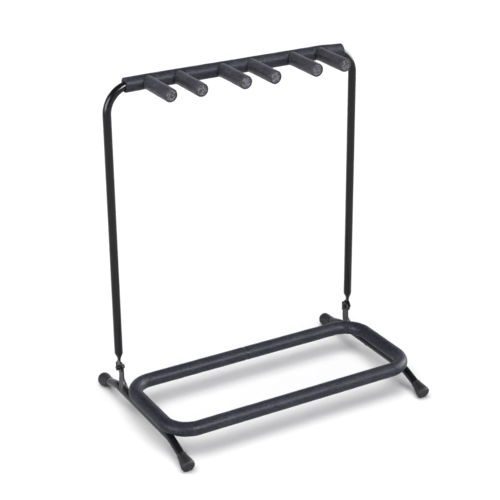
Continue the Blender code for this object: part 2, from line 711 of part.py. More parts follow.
def main():
    clear_scene()
    paint = make_material("black_paint", (0.018, 0.018, 0.021), 0.28)
    foam = make_material("foam", (0.045, 0.044, 0.055), 0.85)
    rubber = make_material("rubber", (0.030, 0.030, 0.033), 0.6)
    plastic = make_material("plug_plastic", (0.055, 0.054, 0.062), 0.55)
    black_zinc = make_material("black_zinc", (0.10, 0.10, 0.105), 0.35, 1.0)
    pivot = make_empty("upper_frame_pivot", (0, PIVOT_Y, PIVOT_Z), -LEAN)
    pivot_holes = rods("pivot_hole_cutter", [(-FRAME_X, 0, 0), (FRAME_X, 0, 0)], X_AXIS, Y_AXIS,
                       HOLE_R, -PIVOT_DRILL, PIVOT_DRILL, pivot)
    build_base(paint, foam, rubber, black_zinc, pivot_holes)
    build_upper_frame(paint, foam, plastic, pivot_holes, pivot)


main()
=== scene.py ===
"""Looks of the folding guitar rack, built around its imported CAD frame.

Every piece is made in the frame's own space, in metres, +Z up, front at -Y. The upper frame's pieces
are made upright about the fold axis and then leaned back with it. Each piece rides on one CAD body.
"""
import json
import math

import bmesh
import bpy
from mathutils import Matrix, Quaternion, Vector, noise


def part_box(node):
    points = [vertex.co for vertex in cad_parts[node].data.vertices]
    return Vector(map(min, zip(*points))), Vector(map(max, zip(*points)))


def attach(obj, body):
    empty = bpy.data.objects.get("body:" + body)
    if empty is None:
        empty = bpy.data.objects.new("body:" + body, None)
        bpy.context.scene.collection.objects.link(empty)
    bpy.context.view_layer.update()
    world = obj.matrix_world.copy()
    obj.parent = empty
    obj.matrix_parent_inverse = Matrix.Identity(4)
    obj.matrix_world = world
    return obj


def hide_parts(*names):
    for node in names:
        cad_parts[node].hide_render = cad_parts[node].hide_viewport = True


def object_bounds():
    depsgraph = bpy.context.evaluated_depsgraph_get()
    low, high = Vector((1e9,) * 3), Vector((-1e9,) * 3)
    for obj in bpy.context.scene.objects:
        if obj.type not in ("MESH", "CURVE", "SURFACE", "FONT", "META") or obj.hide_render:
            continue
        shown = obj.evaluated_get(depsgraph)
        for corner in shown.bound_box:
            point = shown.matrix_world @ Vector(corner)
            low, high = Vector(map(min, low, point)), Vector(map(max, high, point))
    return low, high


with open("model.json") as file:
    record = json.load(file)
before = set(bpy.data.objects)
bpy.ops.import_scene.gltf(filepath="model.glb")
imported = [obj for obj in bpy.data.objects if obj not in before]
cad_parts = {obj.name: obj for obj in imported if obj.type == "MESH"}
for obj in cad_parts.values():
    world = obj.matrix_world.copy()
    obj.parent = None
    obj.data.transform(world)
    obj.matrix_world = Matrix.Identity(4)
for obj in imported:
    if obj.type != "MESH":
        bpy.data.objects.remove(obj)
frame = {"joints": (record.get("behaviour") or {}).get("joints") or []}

CAD_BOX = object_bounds()

# Places and sizes read from the frame -----------------------------------------------------------
PIVOT = Vector(frame["joints"][0]["pos_m"])
LEG_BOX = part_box("left_leg_tube")
FRAME_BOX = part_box("upper_frame_tube")
BAR_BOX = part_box("crossbar_foam")
PEG_BOXES = [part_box(f"peg_foam_{n}") for n in range(1, 7)]
LOOP_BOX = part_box("loop_foam")
UPRIGHT_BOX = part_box("left_upright")

TUBE_R = (LEG_BOX[1].x - LEG_BOX[0].x) / 2
SIDE_X = -(LEG_BOX[0].x + LEG_BOX[1].x) / 2
UPRIGHT_X = -(UPRIGHT_BOX[0].x + UPRIGHT_BOX[1].x) / 2
FRAME_X = FRAME_BOX[1].x - TUBE_R
BAR_R = (BAR_BOX[1].y - BAR_BOX[0].y) / 2
BAR_CENTRE = Vector((0, (BAR_BOX[0].y + BAR_BOX[1].y) / 2, BAR_BOX[1].z - BAR_R))
BAR_RISE = math.hypot(BAR_CENTRE.y - PIVOT.y, BAR_CENTRE.z - PIVOT.z)
LEAN = math.atan2(BAR_CENTRE.y - PIVOT.y, BAR_CENTRE.z - PIVOT.z)
PEG_XS = [(low.x + high.x) / 2 for low, high in PEG_BOXES]
PEG_R = (PEG_BOXES[0][1].x - PEG_BOXES[0][0].x) / 2
PEG_LENGTH = BAR_CENTRE.y - PEG_BOXES[0][0].y
LOOP_R = LOOP_BOX[1].x - SIDE_X
LOOP_REAR = Vector((0, LOOP_BOX[1].y - LOOP_R, LOOP_BOX[0].z + LOOP_R))
LOOP_FRONT = Vector((0, LOOP_BOX[0].y + LOOP_R, LOOP_BOX[1].z - LOOP_R))
LOOP_CENTRE = (LOOP_REAR + LOOP_FRONT) / 2
LOOP_HALF_Y = (LOOP_REAR - LOOP_FRONT).length / 2
LOOP_TILT = math.atan2(LOOP_FRONT.z - LOOP_REAR.z, LOOP_REAR.y - LOOP_FRONT.y)
HALF_DEPTH = CAD_BOX[1][1]

# The rest of the design's dimensions -------------------------------------------------------------
GAP = 0.0003                        # between a piece and its neighbour
TUBE_WALL = 0.0012
BORE_R = TUBE_R - TUBE_WALL
FRAME_BEND_R = 0.051
LOOP_CORNER_R = 0.048

SLEEVE_DROP_FROM = 0.190            # where the tube's bend starts to pull the crossbar sleeve down
SLEEVE_DROPS = (0.0005, 0.0026)     # how far it has pulled the left and the right end down
SLEEVE_EDGE = 0.0012                # the rounding of the sleeve's cut ends
SLEEVE_RING_STEP = 0.0025
SLEEVE_BORE_STEPS = 48
SLEEVE_BORE_EASE = 0.06             # how much the bore widens, as a share of the tube's drop
PRESS_DEPTH = 0.0003                # how the pegs' roots dent the crossbar's foam
PRESS_WIDTH = 0.0022
FOAM_SWELLS = ((0.00022, 60), (0.00011, 190))       # height, and waves per metre
PEG_SWELLS = ((0.00020, 70), (0.00010, 220))

PEG_DROOP = math.radians(1.35)      # below square to the frame
PEG_SEAT_R = BAR_R - 0.0002         # the pegs' foam is pushed a little into the crossbar's
PEG_ROOT = (                        # the root's bulge: beyond the peg's radius, and off the crossbar
    (-0.0012, 0.0), (-0.0004, 0.0003), (0.0002, 0.0012), (0.0004, 0.0026), (0.0002, 0.0048),
    (0.0, 0.0080),
)
PEG_ROOT_LENGTH = 0.0105
PEG_STEPS = 26
PEG_EDGE = 0.0011                   # the rounding of the foam's front edge
PLUG_R = 0.0093                     # the disc in the peg's end
PLUG_T = 0.0016
PLUG_STEM = 0.012                   # how far it reaches into the tube
PLUG_RIM = 0.0011
PLUG_RINGS = 13
PLUG_GRAIN = ((0.00035, 420),)
POCKET_DEPTH = 0.0022               # the seat for the disc in the foam
POCKET_LIP = 0.0002
PEG_TUBE_END = PEG_LENGTH - PLUG_T - GAP

LOOP_SEAM_TUCK = 0.0007             # how far the two butted ends of the loop's foam round in
LOOP_SEAM_WIDTH = 0.0012
SPLICE_HALF = 0.030                 # the sleeve inside the loop's tube
SPLICE_BORE_R = 0.005

LEG_DROP = 0.018                    # from the loop's axis down to the legs'
FRONT_SLOPE = math.radians(18.5)
REAR_SLOPE = math.radians(17.0)
LEG_BEND_R = 0.070
FIXING_Y = 0.050
FOOT_FLAT = 0.0008                  # how deep the cap's round side is cut flat where it stands
FOOT_BORE_DEPTH = 0.024
FOOT_MOUTH = ((TUBE_R + GAP, FOOT_BORE_DEPTH), (TUBE_R + GAP, 0.0003), (0.0086, 0.0))
FOOT_SIDE = (                       # radius, and distance from the mouth
    (0.0088, 0.0000), (0.0091, 0.0003), (0.0093, 0.0012), (0.0091, 0.0022), (0.0094, 0.0050),
    (0.0101, 0.0090), (0.0112, 0.0140), (0.0123, 0.0190), (0.0130, 0.0230), (0.01332, 0.0255),
    (0.0132, 0.0275), (0.0127, 0.0292), (0.0117, 0.0305), (0.0102, 0.0311), (0.0096, 0.0312),
)
FOOT_FACE = (                       # the end face, with its moulded rings
    (0.0091, 0.0308), (0.0085, 0.0312), (0.0068, 0.0312), (0.0063, 0.0308), (0.0058, 0.0312),
    (0.0043, 0.0312), (0.0038, 0.0308), (0.0033, 0.0312), (0.0012, 0.0313),
)

EAR_HALF = 0.0095
EAR_HALF_T = 0.0014
EAR_SHOULDER = 0.0095
EAR_ANGLES = range(2, 90, 8)        # degrees, round the ear's tip
NECK_RISE = 0.018
NECK_HALF_X = 0.0026
NECK_HALF_Y = 0.0041
NECK_CREASE = 0.10
CRIMP_RISE = 0.033
CRIMP_CREASE = 0.34
CREASE_SPREAD = 0.34                # radians round the tube
FLAT_POWER = 7.0                    # how boxy a section is: a pressed ear's,
NECK_POWER = 2.8                    # a neck's,
ROUND_POWER = 2.0                   # and a plain tube's, which is a circle
STRAP_DROP = 0.018
ROUND_RUN = 0.028
UPRIGHT_CORNER = 0.042
UPRIGHT_REACH = 0.033
UPRIGHT_BEND_R = 0.028
STOP_T = 0.0025
STOP_HEIGHT = 0.019
STOP_EDGE = 0.0007

BOLT_R = 0.0025
BOLT_SOCKET = 0.003
THREAD_DEPTH = 0.0002
THREAD_STEPS = 18
NUT_FLATS = 0.008
NUT_CORNER_R = NUT_FLATS / math.sqrt(3)
HEAD_T = 0.003
NUT_T = 0.003
COLLAR_T = 0.0010
WASHER_R = 0.005
WASHER_T = 0.0010
THIN_WASHER_T = 0.0006
SCREW_R = 0.0025
SCREW_SOCKET = 0.0025
SPACER_R = 0.005

TUBE_SIDES = 48
FOAM_SIDES = 64
SHARP = math.radians(40)            # edges sharper than this aren't shaded smooth
X_AXIS = Vector((1, 0, 0))
Y_AXIS = Vector((0, 1, 0))
Z_AXIS = Vector((0, 0, 1))
SIDES = (("left", -1), ("right", 1))

# The upper frame stands upright about the fold axis, then leans; the loop is flat, then tilts.
UPPER = Matrix.Translation(PIVOT) @ Matrix.Rotation(-LEAN, 4, "X")
LOOP = Matrix.Translation(LOOP_CENTRE) @ Matrix.Rotation(-LOOP_TILT, 4, "X")
WORLD = Matrix.Identity(4)


# Mesh helpers ------------------------------------------------------------------------------------
def smooth_step(value):
    """Ease from 0 to 1 as value goes from 0 to 1."""
    value = min(max(value, 0.0), 1.0)
    return value * value * (3 - 2 * value)


def mix(start, end, share):
    """The value that lies share of the way from start to end."""
    return start + (end - start) * share


def rounded_edge(edge):
    """Steps round a quarter turn: one number rises from 0 to edge as the other falls to 0."""
    turns = [math.radians(degrees) for degrees in (0, 30, 60, 90)]
    return [(edge * (1 - math.cos(turn)), edge * (1 - math.sin(turn))) for turn in turns]


def circle(centre, side, up, radius, count):
    """A ring; radius is a length, or a function of the angle."""
    points = []
    for k in range(count):
        angle = 2 * math.pi * k / count
        reach = radius(angle) if callable(radius) else radius
        points.append(centre + side * (reach * math.cos(angle)) + up * (reach * math.sin(angle)))
    return points


def oval(centre, side, up, half_side, half_up, count, power):
    """A ring that is round where power is 2 and boxier where it is more."""
    points = []
    for k in range(count):
        angle = 2 * math.pi * k / count
        c = math.cos(angle)
        s = math.sin(angle)
        a = math.copysign(abs(c) ** (2 / power), c) * half_side
        b = math.copysign(abs(s) ** (2 / power), s) * half_up
        points.append(centre + side * a + up * b)
    return points


def skin(name, rings, joined=False):
    """A closed mesh through the rings, with flat ends, or joined end to end."""
    count = len(rings[0])
    faces = []
    spans = len(rings) if joined else len(rings) - 1
    for i in range(spans):
        here = i * count
        there = (i + 1) % len(rings) * count
        for k in range(count):
            n = (k + 1) % count
            faces.append((here + k, here + n, there + n, there + k))
    if not joined:
        faces.append(tuple(range(count)))
        faces.append(tuple(range((len(rings) - 1) * count, len(rings) * count)))
    mesh = bpy.data.meshes.new(name)
    mesh.from_pydata([point for points in rings for point in points], [], faces)
    return finish_mesh(name, mesh)


def finish_mesh(name, mesh):
    """Turn the faces outward, shade them smooth between sharp edges, and link the piece."""
    bm = bmesh.new()
    bm.from_mesh(mesh)
    bmesh.ops.recalc_face_normals(bm, faces=bm.faces)
    bm.to_mesh(mesh)
    bm.free()
    mesh.shade_smooth()
    mesh.set_sharp_from_angle(angle=SHARP)
    obj = bpy.data.objects.new(name, mesh)
    bpy.context.scene.collection.objects.link(obj)
    return obj


def place(piece, matrix, body, slot, material, *nodes):
    """Put a finished piece into the frame's space, paint it, and let it ride."""
    piece.data.transform(matrix)
    piece.data.materials.clear()
    piece.data.materials.append(material)
    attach(piece, body)
    if nodes:
        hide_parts(*nodes)
    return piece


def fillet_path(corners, radius, steps, spacing):
    """Straight runs, cut into steps of about spacing, with an arc at each inner corner."""
    corners = [Vector(corner) for corner in corners]
    stops = [[corners[0]]]
    for before, here, after in zip(corners, corners[1:], corners[2:]):
        back = (before - here).normalized()
        ahead = (after - here).normalized()
        half = back.angle(ahead) / 2
        start = here + back * (radius / math.tan(half))
        centre = here + (back + ahead).normalized() * (radius / math.sin(half))
        axis = (-back).cross(ahead).normalized()
        arc = []
        for k in range(steps + 1):
            arm = start - centre
            arm.rotate(Quaternion(axis, (math.pi - 2 * half) * k / steps))
            arc.append(centre + arm)
        stops.append(arc)
    stops.append([corners[-1]])
    path = list(stops[0])
    for arc in stops[1:]:
        run = arc[0] - path[-1]
        pieces = max(round(run.length / spacing), 1)
        start = path[-1].copy()
        for k in range(1, pieces):
            path.append(start + run * (k / pieces))
        path.extend(arc)
    return path


def tangents(path):
    """The direction of travel at each point."""
    found = []
    for i in range(len(path)):
        before = path[max(i - 1, 0)]
        after = path[min(i + 1, len(path) - 1)]
        found.append((after - before).normalized())
    return found


def lengths(path):
    """How far along the path each point is."""
    found = [0.0]
    for before, after in zip(path, path[1:]):
        found.append(found[-1] + (after - before).length)
    return found


def tube_rings(path, normal, radius, count):
    """Rings of a round tube; normal is square to the path all the way."""
    return [circle(point, along.cross(normal), normal, radius, count)
            for point, along in zip(path, tangents(path))]


def pipe(path, normal):
    """Rings over the outside of a steel tube and back through its bore."""
    outside = tube_rings(path, normal, TUBE_R, TUBE_SIDES)
    return outside + tube_rings(path, normal, BORE_R, TUBE_SIDES)[::-1]


def lathe(name, profile, count, origin=Vector(), axis=Z_AXIS, side=X_AXIS, joined=False):
    """Turn (radius, distance) points about axis; radius may be a function of the angle."""
    up = axis.cross(side)
    return skin(name, [circle(origin + axis * distance, side, up, radius, count)
                       for radius, distance in profile], joined)


def hexagon(flats, limit=math.inf):
    """A function from an angle to a hexagon's radius there, cut down to limit at its corners."""
    def radius(angle):
        turn = (angle + math.pi / 6) % (math.pi / 3) - math.pi / 6
        return min(flats / 2 / math.cos(turn), limit)
    return radius


# Materials ---------------------------------------------------------------------------------------
class Shader:
    """A Principled material with short calls for its texture nodes."""

    def __init__(self, name, roughness, metallic=0.0):
        self.material = bpy.data.materials.new(name)
        self.material.use_nodes = True
        self.tree = self.material.node_tree
        self.surface = self.tree.nodes["Principled BSDF"]
        self.surface.inputs["Roughness"].default_value = roughness
        self.surface.inputs["Metallic"].default_value = metallic
        self.place = self.tree.nodes.new("ShaderNodeTexCoord").outputs["Object"]

    def node(self, kind, **settings):
        """A new node with its settings."""
        node = self.tree.nodes.new(kind)
        for key, value in settings.items():
            setattr(node, key, value)
        return node

    def link(self, output, socket):
        self.tree.links.new(output, socket)

    def noise(self, scale, detail=3.0, roughness=0.55):
        """Cloudy noise, scale features to the metre."""
        node = self.node("ShaderNodeTexNoise")
        node.inputs["Scale"].default_value = scale
        node.inputs["Detail"].default_value = detail
        node.inputs["Roughness"].default_value = roughness
        self.link(self.place, node.inputs["Vector"])
        return node.outputs["Fac"]

    def cells(self, scale):
        """The distance to the middle of the nearest of scattered cells."""
        node = self.node("ShaderNodeTexVoronoi")
        node.inputs["Scale"].default_value = scale
        self.link(self.place, node.inputs["Vector"])
        return node.outputs["Distance"]

    def ramp(self, factor, *stops):
        """Colours, or shares of white, by position along the factor."""
        node = self.node("ShaderNodeValToRGB")
        elements = node.color_ramp.elements
        while len(elements) < len(stops):
            elements.new(0.5)
        for element, (position, colour) in zip(elements, stops):
            element.position = position
            element.color = (*colour, 1) if isinstance(colour, tuple) else (colour, colour, colour, 1)
        self.link(factor, node.inputs["Fac"])
        return node.outputs["Color"]

    def span(self, factor, low, high, to_low, to_high):
        """Stretch the factor's range from low..high to to_low..to_high."""
        node = self.node("ShaderNodeMapRange")
        ends = {"From Min": low, "From Max": high, "To Min": to_low, "To Max": to_high}
        for socket, value in ends.items():
            node.inputs[socket].default_value = value
        self.link(factor, node.inputs["Value"])
        return node.outputs["Result"]

    def blend(self, factor, one, two, kind="MIX"):
        """Mix two colours; each argument is a value or another node's output."""
        node = self.node("ShaderNodeMix", data_type="RGBA", blend_type=kind)
        sockets = (node.inputs["Factor"], node.inputs[6], node.inputs[7])
        for socket, value in zip(sockets, (factor, one, two)):
            if hasattr(value, "is_linked"):
                self.link(value, socket)
            else:
                socket.default_value = value
        return node.outputs[2]

    def bumps(self, *layers):
        """Relief in layers of (height, depth in metres, strength), the first one lowest."""
        last = None
        for height, depth, strength in layers:
            node = self.node("ShaderNodeBump")
            node.inputs["Distance"].default_value = depth
            node.inputs["Strength"].default_value = strength
            self.link(height, node.inputs["Height"])
            if last:
                self.link(last, node.inputs["Normal"])
            last = node.outputs["Normal"]
        self.link(last, self.surface.inputs["Normal"])

    def colour(self, output):
        """Drive the base colour."""
        self.link(output, self.surface.inputs["Base Color"])

    def rough(self, output):
        """Drive the roughness."""
        self.link(output, self.surface.inputs["Roughness"])

    def constant(self, **values):
        """Set inputs by name, with _ for each space."""
        for name, value in values.items():
            self.surface.inputs[name.replace("_", " ")].default_value = value


def paint_material():
    """Black gloss powder coat: a faint orange peel and slightly uneven gloss."""
    shader = Shader("black_powder_coat", 0.2)
    tones = (0.3, (0.0020, 0.0020, 0.0028)), (0.7, (0.0036, 0.0036, 0.0048))
    shader.colour(shader.ramp(shader.noise(38), *tones))
    shader.rough(shader.span(shader.noise(120), 0.3, 0.7, 0.15, 0.22))
    shader.bumps((shader.noise(520, 2.0), 0.00003, 0.25), (shader.noise(2600, 2.0), 0.00002, 0.25))
    shader.constant(Specular_IOR_Level=0.27)
    return shader.material


def worn_and_sheen_paint_material():
    """The same coat on the pressed ends, rubbed lighter in random patches of wear; its whole tone is
    lighter than the plain coat as a painted reflection on the flat ears.
    """
    shader = Shader("worn_and_sheen_powder_coat", 0.35)
    rubs = shader.ramp(shader.noise(420, 6.0, 0.7), (0.56, 0.0), (0.72, 1.0))
    # Lighter coat tones than the plain paint: a painted reflection on the ears' flat faces.
    tones = (0.3, (0.0052, 0.0052, 0.0061)), (0.7, (0.0100, 0.0100, 0.0114))
    coat = shader.ramp(shader.noise(60), *tones)
    shader.colour(shader.blend(rubs, coat, (0.030, 0.030, 0.033, 1)))
    shader.rough(shader.span(shader.noise(180), 0.3, 0.7, 0.36, 0.52))
    shader.constant(Specular_IOR_Level=0.38)
    shader.bumps((shader.noise(480, 3.0), 0.00016, 0.4), (shader.noise(2200, 2.0), 0.00004, 0.3))
    return shader.material


def foam_material(name, dark, light, specks, mottle):
    """Closed-cell foam skin: blue-grey, with fine cells and a soft uneven sheen.

    The specks are cells per metre, and mottle is how dark the darkest patches are, 1 being none.
    """
    shader = Shader(name, 0.6)
    broad = shader.ramp(shader.noise(30, 4.0), (0.32, dark), (0.68, light))
    patches = shader.ramp(shader.noise(290, 2.0), (0.36, mottle), (0.62, 1.0))
    cells = shader.ramp(shader.cells(specks), (0.05, 0.55), (0.5, 1.0))
    skin_colour = shader.blend(1.0, broad, patches, "MULTIPLY")
    shader.colour(shader.blend(1.0, skin_colour, cells, "MULTIPLY"))
    shader.rough(shader.span(shader.noise(240), 0.3, 0.7, 0.34, 0.46))
    shader.bumps((shader.noise(260, 3.0), 0.0002, 0.25), (shader.cells(1500), 0.00012, 0.40))
    shader.constant(Specular_IOR_Level=0.12)
    return shader.material


def cut_foam_material():
    """A cut face of the foam: open cells, paler than the skin."""
    shader = Shader("foam_cut_face", 0.8)
    tones = (0.10, (0.006, 0.006, 0.008)), (0.55, (0.024, 0.024, 0.030))
    shader.colour(shader.ramp(shader.cells(900), *tones))
    shader.bumps((shader.cells(900), 0.0006, 0.7), (shader.noise(400), 0.0003, 0.4))
    shader.constant(Specular_IOR_Level=0.2)
    return shader.material


def plug_material():
    """Grained plastic of the discs in the pegs' ends."""
    shader = Shader("grained_plastic", 0.55)
    tones = (0.45, (0.003, 0.0029, 0.0038)), (0.55, (0.056, 0.0545, 0.066))
    shader.colour(shader.ramp(shader.noise(300, 1.5, 0.5), *tones))
    shader.rough(shader.span(shader.noise(500), 0.3, 0.7, 0.42, 0.62))
    shader.bumps((shader.noise(520, 2.0, 0.5), 0.0007, 0.8), (shader.noise(3000), 0.00006, 0.3))
    return shader.material


def rubber_material():
    """Matt moulded rubber with a trace of dust and fine grain."""
    shader = Shader("moulded_rubber", 0.7)
    tones = (0.50, (0.0060, 0.0058, 0.0070)), (0.80, (0.0150, 0.0145, 0.0170))
    shader.colour(shader.ramp(shader.noise(160, 6.0, 0.65), *tones))
    shader.rough(shader.span(shader.noise(300), 0.3, 0.7, 0.50, 0.66))
    shader.constant(Specular_IOR_Level=0.28)
    shader.bumps((shader.noise(900, 3.0), 0.00014, 0.45), (shader.cells(2400), 0.00006, 0.3))
    return shader.material


def fastener_material():
    """Black zinc: dark, metallic, brushed by handling."""
    shader = Shader("black_zinc", 0.35, 1.0)
    tones = (0.35, (0.018, 0.018, 0.019)), (0.75, (0.060, 0.060, 0.063))
    shader.colour(shader.ramp(shader.noise(350, 5.0, 0.6), *tones))
    shader.rough(shader.span(shader.noise(800), 0.3, 0.7, 0.26, 0.46))
    shader.bumps((shader.noise(1800, 3.0), 0.00004, 0.4))
    return shader.material


def floor_material():
    """Seamless white studio paper."""
    shader = Shader("white_paper", 0.9)
    shader.colour(shader.ramp(shader.noise(3), (0.3, 0.84), (0.7, 0.86)))
    shader.bumps((shader.noise(900), 0.0001, 0.05))
    shader.constant(Specular_IOR_Level=0.0)
    return shader.material


# Foam pieces -------------------------------------------------------------------------------------
def uneven(point, layers):
    """A small smooth swell at a point, for hand-fitted foam: layers of (height, waves per metre)."""
    return sum(amount * noise.noise(point * scale) for amount, scale in layers)


def foam_ring(centre, side, up, radius):
    """A ring of foam, slightly out of round."""
    points = []
    for point in circle(centre, side, up, radius, FOAM_SIDES):
        points.append(point + (point - centre).normalized() * uneven(point, FOAM_SWELLS))
    return points


def bar_drop(x):
    """How far the crossbar's tube has bent down at x, and the slope there."""
    past = max(abs(x) - (FRAME_X - FRAME_BEND_R), 0)
    angle = math.asin(past / FRAME_BEND_R)
    return FRAME_BEND_R * (1 - math.cos(angle)), angle


def sleeve_centre(x):
    """The middle of the crossbar's sleeve at x."""
    end = BAR_BOX[0].x if x < 0 else BAR_BOX[1].x
    share = (abs(x) - SLEEVE_DROP_FROM) / (abs(end) - SLEEVE_DROP_FROM)
    return Vector((x, 0, BAR_RISE - SLEEVE_DROPS[x > 0] * smooth_step(share)))


def press_at_pegs(point, centre_z):
    """How deep the crossbar's foam is pressed in round the root of the nearest peg."""
    if point.y > 0:
        return 0.0
    nearest = min(PEG_XS, key=lambda x: abs(point.x - x))
    away = math.hypot(point.x - nearest, point.z - centre_z)
    return PRESS_DEPTH * math.exp(-((away - PEG_R) / PRESS_WIDTH) ** 2)


def make_crossbar_sleeve(foam, cut_face):
    """The long sleeve on the crossbar, open at both ends where the tube bends inside it."""
    low = BAR_BOX[0].x
    high = BAR_BOX[1].x
    steps = round((high - low) / SLEEVE_RING_STEP)
    rings = []
    for inset, shrink in rounded_edge(SLEEVE_EDGE):
        rings.append(foam_ring(sleeve_centre(low + inset), Y_AXIS, Z_AXIS, BAR_R - shrink))
    for k in range(1, steps):
        centre = sleeve_centre(mix(low, high, k / steps))
        ring = []
        for point in foam_ring(centre, Y_AXIS, Z_AXIS, BAR_R):
            ring.append(point - (point - centre).normalized() * press_at_pegs(point, centre.z))
        rings.append(ring)
    for inset, shrink in rounded_edge(SLEEVE_EDGE)[::-1]:
        rings.append(foam_ring(sleeve_centre(high - inset), Y_AXIS, Z_AXIS, BAR_R - shrink))
    bore = []
    for k in range(SLEEVE_BORE_STEPS + 1):
        x = mix(low, high, k / SLEEVE_BORE_STEPS)
        drop, slope = bar_drop(x)
        radius = TUBE_R + 2 * GAP + drop * SLEEVE_BORE_EASE
        centre = Vector((x, 0, BAR_RISE - drop))
        bore.append(oval(centre, Y_AXIS, Z_AXIS, radius, radius / math.cos(slope), FOAM_SIDES,
                         ROUND_POWER))
    left_face = end_face(rings[0], bore[0])
    right_face = end_face(rings[-1], bore[-1])
    piece = skin("crossbar_sleeve", rings + right_face + bore[::-1] + left_face[::-1], joined=True)
    place(piece, UPPER, "upper_frame", "foam", foam, "crossbar_foam")
    first = low + SLEEVE_EDGE * 0.2
    last = high - SLEEVE_EDGE * 0.2
    paint_ends(piece, cut_face, UPPER.inverted(), lambda c: c.x < first or c.x > last)


def end_face(outer, inner, count=5):
    """Rings across a flat cut end, from just inside the outer ring to just outside the bore."""
    rings = []
    for k in range(1, count):
        rings.append([a.lerp(b, k / count) for a, b in zip(outer, inner)])
    return rings


def paint_ends(piece, material, to_local, is_end):
    """Give the faces whose centre passes the test the second material."""
    piece.data.materials.append(material)
    for polygon in piece.data.polygons:
        if is_end(to_local @ polygon.center):
            polygon.material_index = 1


def saddle(radius, seat_radius, angle):
    """How far in front of the crossbar's axis a peg's skin meets a crossbar of seat_radius."""
    rise = radius * math.sin(angle)
    return math.sqrt(seat_radius ** 2 - rise ** 2)


def peg_ring(radius, distance, count):
    """A ring of a peg at one distance, or at a distance that depends on the angle."""
    points = []
    for k in range(count):
        angle = 2 * math.pi * k / count
        out = distance(angle) if callable(distance) else distance
        points.append(Vector((radius * math.cos(angle), -out, radius * math.sin(angle))))
    return points


def peg_matrix(x):
    """From a peg's own space, where it runs along -Y from the crossbar's axis, to the frame's."""
    return UPPER @ Matrix.Translation((x, 0, BAR_RISE)) @ Matrix.Rotation(PEG_DROOP, 4, "X")


def make_peg_sleeve(number, x, foam, cut_face):
    """A foam sleeve pushed against the crossbar's foam, so its root bulges over a dark crease."""
    count = FOAM_SIDES
    straight_end = PEG_LENGTH - 0.0016
    rings = []
    for beyond, off in PEG_ROOT:
        radius = PEG_R + beyond
        rings.append(peg_ring(
            radius, lambda angle, r=radius, o=off: saddle(r, BAR_R, angle) + o, count))
    for k in range(1, PEG_STEPS):
        rings.append(peg_ring(PEG_R, lambda angle, share=k / PEG_STEPS: mix(
            saddle(PEG_R, PEG_SEAT_R, angle) + PEG_ROOT_LENGTH, straight_end, share), count))
    for shrink, back in rounded_edge(PEG_EDGE):
        rings.append(peg_ring(PEG_R - shrink, PEG_LENGTH - back, count))
    seat = PLUG_R + GAP
    bore = TUBE_R + GAP
    rings.append(peg_ring((PEG_R + PLUG_R) / 2, PEG_LENGTH, count))
    rings.append(peg_ring(seat, PEG_LENGTH - POCKET_LIP, count))
    rings.append(peg_ring(seat, PEG_LENGTH - POCKET_DEPTH, count))
    rings.append(peg_ring(bore, PEG_LENGTH - POCKET_DEPTH, count))
    rings.append(peg_ring(bore, lambda angle: saddle(bore, PEG_SEAT_R, angle), count))
    for ring in rings[1:-4]:
        for point in ring:
            away = Vector((point.x, 0, point.z)).normalized()
            point += away * uneven(point + Vector((number * 0.31, 0, 0)), PEG_SWELLS)
    piece = skin(f"peg_sleeve_{number}", rings, joined=True)
    place(piece, peg_matrix(x), "upper_frame", "foam", foam, f"peg_foam_{number}")
    paint_ends(piece, cut_face, peg_matrix(x).inverted(), lambda c: -c.y > PEG_LENGTH - POCKET_LIP)


def make_peg_plug(number, x, plastic):
    """A pressed-in disc with a fine raised rim round its grained face."""
    count = TUBE_SIDES
    stem = BORE_R - GAP
    inside = PEG_TUBE_END
    profile = ((stem * 0.94, inside - PLUG_STEM), (stem, inside - PLUG_STEM + 0.001),
               (stem, inside + GAP), (PLUG_R, inside + GAP), (PLUG_R, PEG_LENGTH - 0.0004),
               (PLUG_R - 0.0003, PEG_LENGTH - 0.0001), (PLUG_R - 0.0008, PEG_LENGTH),
               (PLUG_R - PLUG_RIM, PEG_LENGTH - 0.0003))
    rings = [peg_ring(radius, distance, count) for radius, distance in profile]
    for k in range(1, PLUG_RINGS):
        ring = peg_ring((PLUG_R - PLUG_RIM) * (1 - k / PLUG_RINGS), PEG_LENGTH - 0.0004, count)
        for point in ring:
            point.y -= uneven(point + Vector((number * 0.173, 0, 0)), PLUG_GRAIN)
        rings.append(ring)
    piece = skin(f"peg_end_disc_{number}", rings)
    place(piece, peg_matrix(x), "upper_frame", "plug_plastic", plastic, f"peg_plug_{number}")


def make_peg_tube(number, x, paint):
    """The welded tube inside the foam, with its wall's true thickness."""
    seat = TUBE_R + GAP
    count = TUBE_SIDES
    rings = [peg_ring(TUBE_R, lambda angle: saddle(TUBE_R, seat, angle), count),
             peg_ring(TUBE_R, PEG_TUBE_END - 0.0003, count),
             peg_ring(TUBE_R - 0.0003, PEG_TUBE_END, count),
             peg_ring(BORE_R, PEG_TUBE_END, count),
             peg_ring(BORE_R, lambda angle: saddle(BORE_R, seat, angle), count)]
    piece = skin(f"peg_core_{number}", rings, joined=True)
    place(piece, peg_matrix(x), "upper_frame", "black_paint", paint, f"peg_tube_{number}")


def loop_corners(seam):
    """The loop's corners, starting and ending behind, a seam apart."""
    return ((seam / 2, LOOP_HALF_Y, 0), (SIDE_X, LOOP_HALF_Y, 0), (SIDE_X, -LOOP_HALF_Y, 0),
            (-SIDE_X, -LOOP_HALF_Y, 0), (-SIDE_X, LOOP_HALF_Y, 0), (-seam / 2, LOOP_HALF_Y, 0))


